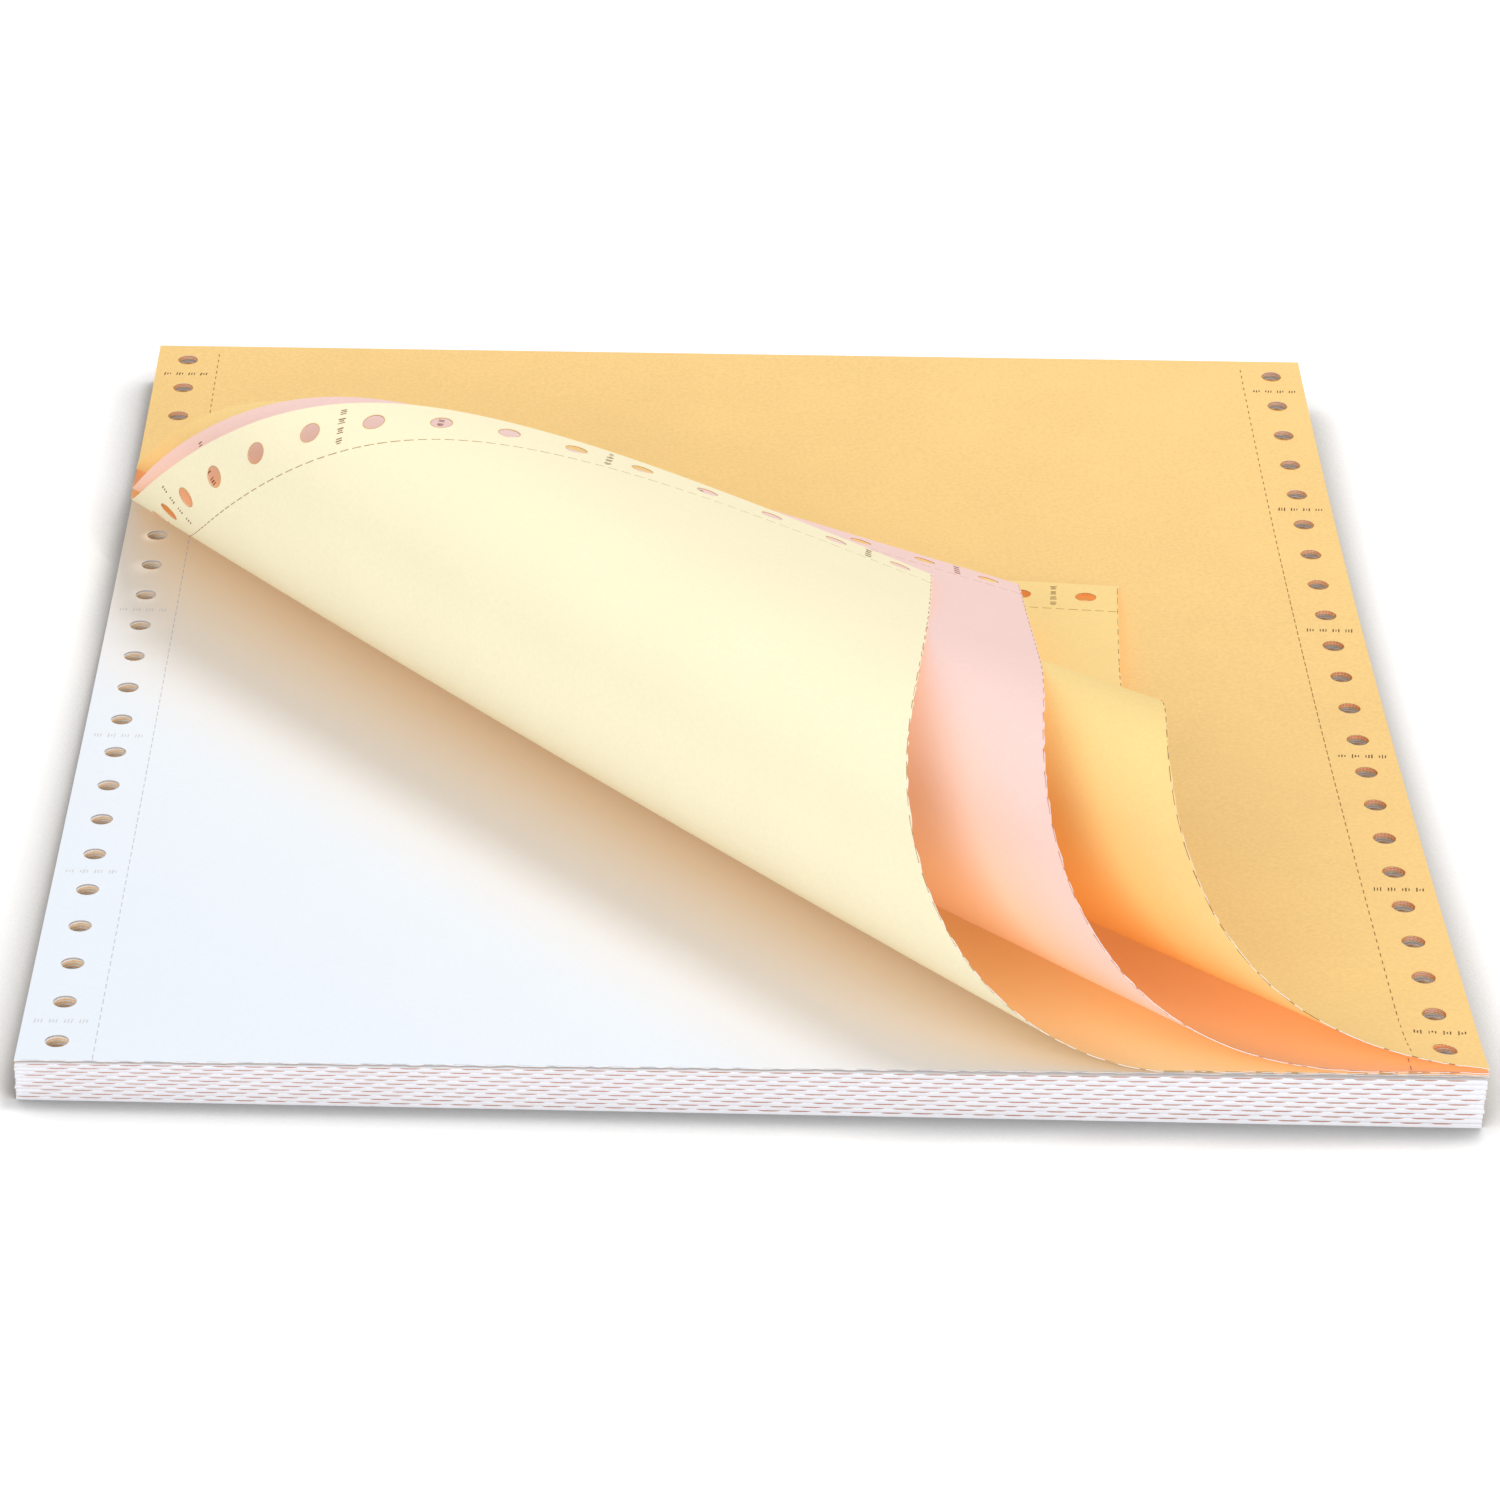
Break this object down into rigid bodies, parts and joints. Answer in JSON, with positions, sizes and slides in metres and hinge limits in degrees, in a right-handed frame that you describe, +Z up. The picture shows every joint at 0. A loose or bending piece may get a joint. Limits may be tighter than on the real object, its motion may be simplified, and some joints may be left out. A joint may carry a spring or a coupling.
{
  "type": "fanfold continuous form paper",
  "caption": "Zigzag-folded stack of multi-ply continuous form paper with sprocket margins; the top form's plies are peeled from one corner and rolled diagonally.",
  "frame": {"origin": "on the floor, under the middle of the folded stack", "axes": "+X across the form to the right, +Y along the form to the rear, +Z up through the stack"},
  "size_m": [0.2414, 0.2794, 0.0553],
  "materials": {
    "pack_paper": "matte, edges of many coloured plies",
    "white_paper": "matte",
    "cream_paper": "matte",
    "pink_paper": "matte",
    "gold_paper": "matte"
  },
  "bodies": {
    "root": {"folded_pack": "pack_paper", "white_ply": "white_paper", "cream_ply": "cream_paper", "pink_ply": "pink_paper", "gold_ply": "gold_paper"}
  },
  "joints": []
}
